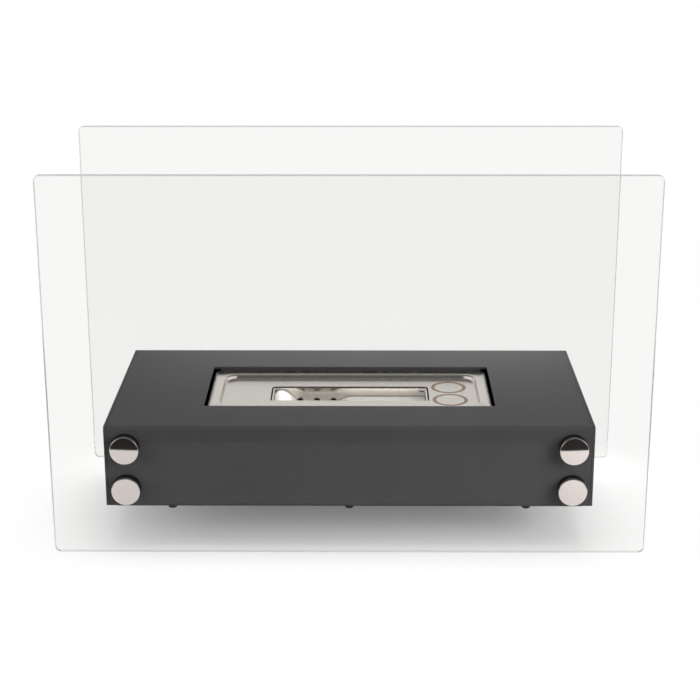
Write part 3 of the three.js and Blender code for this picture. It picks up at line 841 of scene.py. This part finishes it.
def rounded_ring(form, length, depth, corner, z):
    """Vertices of a level rectangle with round corners."""
    ring = []
    for sx, sy, first in ((1, 1, 0), (-1, 1, 90), (-1, -1, 180), (1, -1, 270)):
        centre = (sx * (length / 2 - corner), sy * (depth / 2 - corner))
        quarter = arc(centre, corner, first, first + 90, CORNER_STEPS)
        ring += [form.verts.new((*point, z)) for point in quarter]
    return ring


def skin(form, rings, closed):
    """Faces between rings of as many vertices each, joined up or with flat ends."""
    pairs = list(zip(rings, rings[1:]))
    if closed:
        pairs.append((rings[-1], rings[0]))
    else:
        form.faces.new(rings[0])
        form.faces.new(rings[-1])
    for low, high in pairs:
        for i in range(len(low)):
            j = (i + 1) % len(low)
            form.faces.new((low[i], low[j], high[j], high[i]))
    return form


def step_profile(steps):
    """(inset, fall, inward, up) of the drawn step's upper face, and of its normal there."""
    sine, cosine = math.sin(STEP_ANGLE), math.cos(STEP_ANGLE)
    wall = (STEP_DEPTH - (STEP_SHOULDER + STEP_FOOT) * (1 - cosine)) / math.tan(STEP_ANGLE)
    run = (STEP_SHOULDER + STEP_FOOT) * sine + wall
    angles = [STEP_ANGLE * i / steps for i in range(steps + 1)]
    shoulder = [
        (
            FLANGE_WIDTH + STEP_SHOULDER * math.sin(a),
            STEP_SHOULDER * (1 - math.cos(a)),
            math.sin(a),
            math.cos(a),
        )
        for a in angles
    ]
    foot = [
        (
            FLANGE_WIDTH + run - STEP_FOOT * math.sin(a),
            STEP_DEPTH - STEP_FOOT * (1 - math.cos(a)),
            math.sin(a),
            math.cos(a),
        )
        for a in reversed(angles)
    ]
    return shoulder + foot


def tray_ring(form, inset, fall):
    """A ring so far inside the flange's edge and below its top. The step has its own corners."""
    on_edge = inset < FLANGE_CORNER / 2
    corner = FLANGE_CORNER - inset if on_edge else STEP_CORNER + FLANGE_WIDTH - inset
    length, depth = TRAY_LENGTH - 2 * inset, TRAY_DEPTH - 2 * inset
    return rounded_ring(form, length, depth, corner, TRAY_TOP - fall)


def slot_ring(form, wider, fall):
    """A ring so far outside the slot's edge and below the flange's top."""
    length, depth = SLOT_LENGTH + 2 * wider, SLOT_DEPTH + 2 * wider
    return rounded_ring(form, length, depth, SLOT_CORNER + wider, TRAY_TOP - fall)


form = bmesh.new()
profile = step_profile(8)
rings = [
    tray_ring(form, 0, SHEET_BREAK),
    tray_ring(form, SHEET_BREAK, 0),
    tray_ring(form, FLANGE_WIDTH - FLAT_MARGIN, 0),
    *[tray_ring(form, inset, fall) for inset, fall, inward, up in profile],
    tray_ring(form, profile[-1][0] + FLAT_MARGIN, STEP_DEPTH),
    slot_ring(form, SHEET_BREAK + FLAT_MARGIN, STEP_DEPTH),
    slot_ring(form, SHEET_BREAK, STEP_DEPTH),
    slot_ring(form, 0, STEP_DEPTH + SHEET_BREAK),
    slot_ring(form, 0, STEP_DEPTH + TRAY_SHEET),
]
for inset, fall, inward, up in reversed(profile):
    rings.append(tray_ring(form, inset - TRAY_SHEET * inward, fall + TRAY_SHEET * up))
rings.append(tray_ring(form, 0, TRAY_SHEET))
burner_tray = finish_mesh(skin(form, rings, closed=True), "drawn_tray", sharp=50)
burner_tray.data.materials.append(etched_stainless)
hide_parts("burner_tray")
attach(burner_tray, "burner")

# ---- Fuel tank
# A deep box of 0.8 mm stainless with an outward rim, welded under the tray's floor. It holds the
# fuel around the trough.

TANK_LENGTH = 200 * MM
TANK_WIDTH = 62 * MM
TANK_TOP = 103.1 * MM
TANK_BOTTOM = 58.1 * MM
TANK_CORNER = 9 * MM
TANK_FOOT = 4 * MM
TANK_RIM = 5 * MM



def tank_ring(form, wider, z):
    """A ring so far outside the tank's walls."""
    length, depth = TANK_LENGTH + 2 * wider, TANK_WIDTH + 2 * wider
    return rounded_ring(form, length, depth, TANK_CORNER + wider, z)


def tank_foot(form, wider, radius, z):
    """Rings of the rounding between the tank's floor and its walls, from the floor up."""
    return [
        tank_ring(form, wider - radius + across, z + radius + up)
        for across, up in arc((0, 0), radius, -90, 0, 8)
    ]


form = bmesh.new()
rim_underside = TANK_TOP - TRAY_SHEET
rings = [
    *tank_foot(form, 0, TANK_FOOT, TANK_BOTTOM),
    tank_ring(form, 0, rim_underside),
    tank_ring(form, TANK_RIM, rim_underside),
    tank_ring(form, TANK_RIM, TANK_TOP),
    tank_ring(form, -TRAY_SHEET, TANK_TOP),
]
rings += reversed(
    tank_foot(form, -TRAY_SHEET, TANK_FOOT - TRAY_SHEET, TANK_BOTTOM + TRAY_SHEET)
)
fuel_tank = finish_mesh(skin(form, rings, closed=False), "welded_tank")
fuel_tank.data.materials.append(stainless)
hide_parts("fuel_tank")
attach(fuel_tank, "burner")

# ---- Perforated trough
# Folded from 1.2 mm stainless, with a row of 6 mm breather holes in its long walls and slots at
# the foot that let the fuel in. It stands in the tank below the tray's slot.

BRIGHT_ROUGHNESS = (0.1, 0.18)

# Stainless sheet as it leaves the rolls, not ground: the same grey, but a clearer mirror.
bright_stainless = stainless.copy()
bright_stainless.name = "bright_rolled_stainless_steel"
gloss = next(node for node in bright_stainless.node_tree.nodes if node.type == "MAP_RANGE")
gloss.inputs["To Min"].default_value = BRIGHT_ROUGHNESS[0]
gloss.inputs["To Max"].default_value = BRIGHT_ROUGHNESS[1]
coat_with(bright_stainless, "perforated_trough")

# ---- Ceramic wool
# White ceramic fibre, pulled from a blanket and packed into the trough by hand, so that it bulges
# at its left end and sags beside that. Loose fibres stand out of its top.

WOOL_LENGTH = 135 * MM
WOOL_WIDTH = 32 * MM
WOOL_BOTTOM = 60.7 * MM
WOOL_LEVEL = 96.2 * MM
WOOL_BULGE = 6 * MM
WOOL_SAG = 6.5 * MM
WOOL_BULGE_ENDS = ((-0.06, 0.04), (0.04, 0.17))  # its rise and its fall, as shares of the length
WOOL_SAG_ENDS = ((0.08, 0.2), (0.37, 0.5))
WOOL_EDGE = 2.5 * MM
WOOL_STATIONS = 120
WOOL_ACROSS = 30
WOOL_LUMP = 7 * MM
WOOL_LUMP_HEIGHT = 0.35 * MM
WOOL_COLOUR = "e6e4df"
WOOL_TUFT_COLOUR = "d2cfc8"
WOOL_TUFT = 1.6 * MM
WOOL_TUFT_DEPTH = 0.25 * MM
WOOL_SHEEN = (0.3, 0.6)  # weight and roughness
FIBRE_LENGTH = 6 * MM
FIBRE_SHORTEST = 0.4  # of the longest
FIBRE_RADIUS = 0.05 * MM  # real fibres are about 0.004 mm thick, drawn thicker so that they show
FIBRE_BEND = 0.12  # of its length
FIBRE_TILT = 0.12
FIBRE_DENSITY = 160000  # in a square metre
FIBRE_GROUND = 0.8  # fibres lie only where the wool faces up at least so much
FIBRE_SEED = 7

# Fibre of alumina and silica, felted: a chalky white, a little darker and warmer on its raised
# tufts, with no shine and a fluffy edge that catches the light.
ceramic_wool, tree = new_material("ceramic_fibre")
tufts = grain_of(tree, (4 * WOOL_TUFT, WOOL_TUFT, WOOL_TUFT))
# Darker and warmer where the tuft noise is high, the same noise that raises the bump.
colour = add(
    tree,
    "ShaderNodeMix",
    {0: tufts.outputs["Fac"], 6: linear(WOOL_COLOUR), 7: linear(WOOL_TUFT_COLOUR)},
    data_type="RGBA",
)
bump = add(
    tree,
    "ShaderNodeBump",
    {"Height": tufts.outputs["Fac"], "Distance": WOOL_TUFT_DEPTH, "Strength": 1},
)
shader = add(
    tree,
    "ShaderNodeBsdfPrincipled",
    {
        "Base Color": colour.outputs[2],
        "Roughness": 1,
        "IOR": 1.5,
        "Sheen Weight": WOOL_SHEEN[0],
        "Sheen Roughness": WOOL_SHEEN[1],
        "Normal": bump.outputs[0],
    },
)
add(tree, "ShaderNodeOutputMaterial", {"Surface": shader.outputs[0]})


def smoothstep(value, low, high):
    """A soft rise from 0 at the low end to 1 at the high end."""
    share = min(1, max(0, (value - low) / (high - low)))
    return share * share * (3 - 2 * share)


def wool_top(along):
    """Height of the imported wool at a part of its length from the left."""
    bulge, sag = [
        smoothstep(along, *rise) * (1 - smoothstep(along, *fall))
        for rise, fall in (WOOL_BULGE_ENDS, WOOL_SAG_ENDS)
    ]
    return WOOL_LEVEL + WOOL_BULGE * bulge - WOOL_SAG * sag


# Cross sections from left to right, each with small lumps on its top.
form = bmesh.new()
edge = WOOL_WIDTH / 2 - WOOL_EDGE
stations = []
for i in range(WOOL_STATIONS + 1):
    along = i / WOOL_STATIONS
    x = (along - 0.5) * WOOL_LENGTH
    top = wool_top(along)
    outline = [(-WOOL_WIDTH / 2, WOOL_BOTTOM), (WOOL_WIDTH / 2, WOOL_BOTTOM)]
    outline += arc((edge, top - WOOL_EDGE), WOOL_EDGE, 0, 90, 5)
    outline += [(edge * (1 - 2 * j / WOOL_ACROSS), top) for j in range(1, WOOL_ACROSS)]
    outline += arc((-edge, top - WOOL_EDGE), WOOL_EDGE, 90, 180, 5)
    ring = []
    for y, z in outline:
        if z > WOOL_BOTTOM and abs(y) < edge:
            lump = noise.fractal(Vector((x, y, 0)) / WOOL_LUMP, 1, 2, 3)
            z += WOOL_LUMP_HEIGHT * min(1, lump)
        ring.append(form.verts.new((x, y, z)))
    stations.append(ring)
wool_body = finish_mesh(skin(form, stations, closed=False), "wool_body", sharp=60)

# Loose fibres: bent hairs strewn over the wool's top and lying nearly flat on it.
tree, given = geometry_tree(
    "loose_fibres",
    ("Wool", "Object"),
    ("Fibre Length", "Float"),
    ("Fibre Radius", "Float"),
    ("Bend", "Float"),
    ("Density", "Float"),
    ("Seed", "Int"),
    ("Finish", "Material"),
)
wool = add(tree, "GeometryNodeObjectInfo", {"Object": given["Wool"]})
normal = add(tree, "GeometryNodeInputNormal")
facing = add(tree, "ShaderNodeSeparateXYZ", {0: normal.outputs[0]})
upward = add(
    tree,
    "FunctionNodeCompare",
    {"A": facing.outputs["Z"], "B": FIBRE_GROUND},
    operation="GREATER_THAN",
)
strewn = add(
    tree,
    "GeometryNodeDistributePointsOnFaces",
    {
        "Mesh": wool.outputs["Geometry"],
        "Selection": upward.outputs[0],
        "Density": given["Density"],
        "Seed": given["Seed"],
    },
)
half = add(tree, "ShaderNodeMath", {0: given["Fibre Length"], 1: 0.5}, operation="MULTIPLY")
back = add(tree, "ShaderNodeMath", {0: half.outputs[0], 1: -1}, operation="MULTIPLY")
rise = add(
    tree,
    "ShaderNodeMath",
    {0: given["Fibre Length"], 1: given["Bend"]},
    operation="MULTIPLY",
)
start = add(tree, "ShaderNodeCombineXYZ", {"X": back.outputs[0]})
middle = add(tree, "ShaderNodeCombineXYZ", {"Z": rise.outputs[0]})
end = add(tree, "ShaderNodeCombineXYZ", {"X": half.outputs[0]})
hair = add(
    tree,
    "GeometryNodeCurveQuadraticBezier",
    {
        "Resolution": 5,
        "Start": start.outputs[0],
        "Middle": middle.outputs[0],
        "End": end.outputs[0],
    },
)
section = add(
    tree,
    "GeometryNodeCurvePrimitiveCircle",
    {"Resolution": 3, "Radius": given["Fibre Radius"]},
)
tube = add(
    tree,
    "GeometryNodeCurveToMesh",
    {"Curve": hair.outputs[0], "Profile Curve": section.outputs[0], "Fill Caps": True},
)
turn = add(
    tree,
    "FunctionNodeRandomValue",
    {
        0: (-FIBRE_TILT, -FIBRE_TILT, 0),
        1: (FIBRE_TILT, FIBRE_TILT, 2 * math.pi),
        "Seed": given["Seed"],
    },
    data_type="FLOAT_VECTOR",
)
size = add(
    tree,
    "FunctionNodeRandomValue",
    {2: FIBRE_SHORTEST, 3: 1, "Seed": given["Seed"]},
    data_type="FLOAT",
)
hairs = add(
    tree,
    "GeometryNodeInstanceOnPoints",
    {
        "Points": strewn.outputs["Points"],
        "Instance": tube.outputs[0],
        "Rotation": turn.outputs[0],
        "Scale": size.outputs[1],
    },
)
whole = add(tree, "GeometryNodeJoinGeometry", {"Geometry": hairs.outputs[0]})
tree.links.new(wool.outputs["Geometry"], whole.inputs[0])
real = add(tree, "GeometryNodeRealizeInstances", {"Geometry": whole.outputs[0]})
finished = add(
    tree,
    "GeometryNodeSetMaterial",
    {"Geometry": real.outputs[0], "Material": given["Finish"]},
)
add(tree, "NodeGroupOutput", {"Geometry": finished.outputs[0]})
wool_packing = grow(
    "wool_packing",
    tree,
    {
        "Wool": wool_body,
        "Fibre Length": FIBRE_LENGTH,
        "Fibre Radius": FIBRE_RADIUS,
        "Bend": FIBRE_BEND,
        "Density": FIBRE_DENSITY,
        "Seed": FIBRE_SEED,
        "Finish": ceramic_wool,
    },
)
drop(wool_body)
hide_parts("ceramic_wool")
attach(wool_packing, "burner")

# ---- Studio: white floor, soft light and the camera
# The object stands on a white table that ends a little ahead of it, before a bright backdrop. The
# room ahead of the table is dim, which the polished caps and the burner's step mirror.

TABLE_FRONT = -0.367
FLOOR_HALF = 12
FLOOR_WHITE = (0.74, 0.74, 0.74, 1)
FLOOR_LIFT = 0.1  # light that the white paper adds to its own shadow
SHADED = (0.15, 0.07)  # half sizes of the floor that keeps its whole shadow
SHADE_FADE = (0.17, 0.09)  # how far past that the shadow fades to white
ROOM_FLOOR = (0.02, 0.02, 0.02, 1)
ROOM_AHEAD = (0.06, 0.2)  # radiance ahead, low down and higher up
ROOM_SIDES = 1.1
BACKDROP = 1.1
CEILING = 0.25

# Where the room changes from one to the next, as parts of a direction's X, Y or Z.
AHEAD_RISE = (0.15, 0.4)
BACKDROP_RISE = (-0.1, 0.4)
SIDES_RISE = (0.25, 0.65)
CEILING_RISE = (0.4, 0.7)


def seen_directly(tree):
    """1 where the camera sees a thing itself or through glass, 0 in light and in mirrors."""
    path = add(tree, "ShaderNodeLightPath").outputs
    bounces = add(
        tree,
        "ShaderNodeMath",
        {0: path["Diffuse Depth"], 1: path["Glossy Depth"]},
        operation="ADD",
    )
    none = add(tree, "ShaderNodeMath", {0: bounces.outputs[0], 1: 0.5}, operation="LESS_THAN")
    return none.outputs[0]


# White matt paper: it takes the object's shadow and fades to plain white past it. In the mirrors
# it ends at the table's front, where the dim floor of the room begins.
floor_form = bmesh.new()
bmesh.ops.create_grid(floor_form, x_segments=8, y_segments=8, size=FLOOR_HALF)
floor = finish_mesh(floor_form, "floor")
floor_paper, tree = new_material("white_table")
seen = seen_directly(tree)
place = add(tree, "ShaderNodeTexCoord").outputs["Object"]
parts = add(tree, "ShaderNodeSeparateXYZ", {0: place})
on_table = add(
    tree,
    "ShaderNodeMath",
    {0: parts.outputs["Y"], 1: TABLE_FRONT},
    operation="GREATER_THAN",
)
lit = add(
    tree,
    "ShaderNodeMath",
    {0: on_table.outputs[0], 1: seen},
    operation="MAXIMUM",
)
colour = add(
    tree,
    "ShaderNodeMix",
    {0: lit.outputs[0], 6: ROOM_FLOOR, 7: FLOOR_WHITE},
    data_type="RGBA",
)
from_middle = add(tree, "ShaderNodeVectorMath", {0: place}, operation="ABSOLUTE")
past = add(
    tree,
    "ShaderNodeVectorMath",
    {0: from_middle.outputs[0], 1: (*SHADED, 0)},
    operation="SUBTRACT",
)
past = add(tree, "ShaderNodeVectorMath", {0: past.outputs[0]}, operation="MAXIMUM")
past = add(
    tree,
    "ShaderNodeVectorMath",
    {0: past.outputs[0], 1: (*SHADE_FADE, 1)},
    operation="DIVIDE",
)
away = add(tree, "ShaderNodeVectorMath", {0: past.outputs[0]}, operation="LENGTH")
faded = add(
    tree,
    "ShaderNodeMapRange",
    {"Value": away.outputs["Value"]},
    interpolation_type="SMOOTHSTEP",
)
clear = add(tree, "ShaderNodeMath", {0: faded.outputs[0], 1: seen}, operation="MULTIPLY")
lift = add(tree, "ShaderNodeMath", {0: seen, 1: FLOOR_LIFT}, operation="MULTIPLY")
paper = add(tree, "ShaderNodeBsdfDiffuse", {"Color": colour.outputs[2]})
raised = add(tree, "ShaderNodeEmission", {"Strength": lift.outputs[0]})
near = add(tree, "ShaderNodeAddShader", {0: paper.outputs[0], 1: raised.outputs[0]})
white = add(tree, "ShaderNodeEmission", {"Strength": 1})
sheet = add(
    tree,
    "ShaderNodeMixShader",
    {0: clear.outputs[0], 1: near.outputs[0], 2: white.outputs[0]},
)
add(tree, "ShaderNodeOutputMaterial", {"Surface": sheet.outputs[0]})
floor.data.materials.append(floor_paper)

# The room, by direction: plain white to the camera, and in light and mirrors bright behind and at
# both sides, dimmer overhead and nearly dark ahead.
world = bpy.data.worlds.new("studio")
bpy.context.scene.world = world
world.use_nodes = True
tree = world.node_tree
tree.nodes.clear()
direction = add(tree, "ShaderNodeTexCoord").outputs["Generated"]
parts = add(tree, "ShaderNodeSeparateXYZ", {0: direction})
ahead = add(
    tree,
    "ShaderNodeMapRange",
    {
        "Value": parts.outputs["Z"],
        "From Min": AHEAD_RISE[0],
        "From Max": AHEAD_RISE[1],
        "To Min": ROOM_AHEAD[0],
        "To Max": ROOM_AHEAD[1],
    },
    interpolation_type="SMOOTHSTEP",
)
behind = add(
    tree,
    "ShaderNodeMapRange",
    {
        "Value": parts.outputs["Y"],
        "From Min": BACKDROP_RISE[0],
        "From Max": BACKDROP_RISE[1],
        "To Min": ahead.outputs[0],
        "To Max": BACKDROP,
    },
    interpolation_type="SMOOTHSTEP",
)
sideways = add(tree, "ShaderNodeMath", {0: parts.outputs["X"]}, operation="ABSOLUTE")
beside = add(
    tree,
    "ShaderNodeMapRange",
    {
        "Value": sideways.outputs[0],
        "From Min": SIDES_RISE[0],
        "From Max": SIDES_RISE[1],
        "To Min": behind.outputs[0],
        "To Max": ROOM_SIDES,
    },
    interpolation_type="SMOOTHSTEP",
)
above = add(
    tree,
    "ShaderNodeMapRange",
    {"Value": parts.outputs["Z"], "From Min": CEILING_RISE[0], "From Max": CEILING_RISE[1]},
    interpolation_type="SMOOTHSTEP",
)
room = add(
    tree,
    "ShaderNodeMix",
    {0: above.outputs[0], 2: beside.outputs[0], 3: CEILING},
    data_type="FLOAT",
)
strength = add(
    tree,
    "ShaderNodeMix",
    {0: seen_directly(tree), 2: room.outputs[0], 3: 1},
    data_type="FLOAT",
)
sky = add(tree, "ShaderNodeBackground", {"Strength": strength.outputs[0]})
add(tree, "ShaderNodeOutputWorld", {"Surface": sky.outputs[0]})

# Each softbox as (place, aim, width, height, radiance), in metres.
SOFTBOXES = {
    "left_softbox": ((-1.1, -0.6, 0.42), (0, -0.1, 0.08), 0.8, 0.6, 3.9),
    "right_softbox": ((0.95, -0.9, 0.5), (0, -0.1, 0.08), 0.8, 0.6, 10.5),
    "rear_softbox": ((0.03, 0.33, 0.24), (0, 0.08, 0.1), 0.5, 0.12, 16),
    "top_softbox": ((0, -0.1, 1.2), (0, 0, 0.1), 0.8, 0.8, 2),
}
for name, (place, aim, width, height, radiance) in SOFTBOXES.items():
    lamp = bpy.data.lights.new(name, "AREA")
    lamp.shape = "RECTANGLE"
    lamp.size, lamp.size_y = width, height
    lamp.energy = radiance * math.pi * width * height
    softbox = bpy.data.objects.new(name, lamp)
    softbox.location = place
    softbox.rotation_euler = (Vector(aim) - Vector(place)).to_track_quat("-Z", "Y").to_euler()
    softbox.visible_camera = softbox.visible_transmission = False
    softbox.visible_glossy = False  # the bright sides of the room show in the metal instead
    bpy.context.scene.collection.objects.link(softbox)

CAMERA_PLACE = (9.97 * MM, -1391.87 * MM, 590.69 * MM)
CAMERA_PITCH = math.radians(17.777)
CAMERA_YAW = math.radians(-0.407)
CAMERA_ROLL = math.radians(-0.0627)
CAMERA_LENS = 84.677
CAMERA_SENSOR = 36

# The camera stands ahead of the object, a little above it, and looks down on it.
ahead = Vector(
    (
        math.sin(CAMERA_YAW) * math.cos(CAMERA_PITCH),
        math.cos(CAMERA_YAW) * math.cos(CAMERA_PITCH),
        -math.sin(CAMERA_PITCH),
    )
)
level = Vector((math.cos(CAMERA_YAW), -math.sin(CAMERA_YAW), 0))
upright = level.cross(ahead)
right = level * math.cos(CAMERA_ROLL) + upright * math.sin(CAMERA_ROLL)
camera = bpy.data.objects.new("camera", bpy.data.cameras.new("camera"))
camera.data.lens = CAMERA_LENS
camera.data.sensor_width = CAMERA_SENSOR
camera.matrix_world = Matrix.Translation(CAMERA_PLACE) @ Matrix(
    (right, right.cross(ahead), -ahead)
).transposed().to_4x4()
bpy.context.scene.collection.objects.link(camera)
bpy.context.scene.camera = camera
bpy.context.scene.view_settings.view_transform = "Standard"
